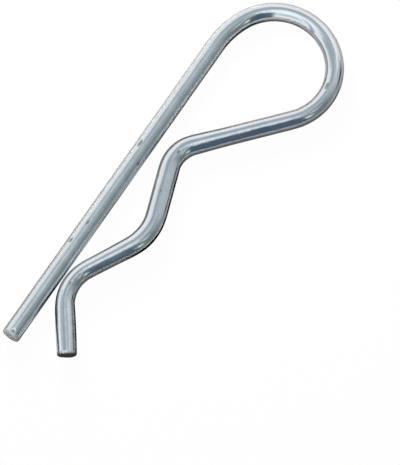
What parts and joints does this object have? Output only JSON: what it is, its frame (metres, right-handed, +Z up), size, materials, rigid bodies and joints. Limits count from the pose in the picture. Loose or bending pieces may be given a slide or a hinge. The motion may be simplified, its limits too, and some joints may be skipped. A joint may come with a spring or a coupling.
{
  "type": "hitch pin clip",
  "caption": "Spring wire R clip that keeps a cross-drilled pin or shaft in place, with a straight leg, a wavy gripping leg and an open loop",
  "frame": {"origin": "The middle of the clip's bounding box at its underside, where the clip rests flat on a surface.", "axes": "+X runs along the straight leg towards the loop, +Y points from the wavy leg towards the straight leg, and +Z is up out of the plane in which the wire is bent."},
  "size_m": [0.119, 0.0372, 0.005],
  "materials": {
    "zinc_plated_steel": "bright zinc plating with fine drawn-wire lines"
  },
  "bodies": {
    "root": {"clip": "zinc_plated_steel"}
  },
  "joints": []
}
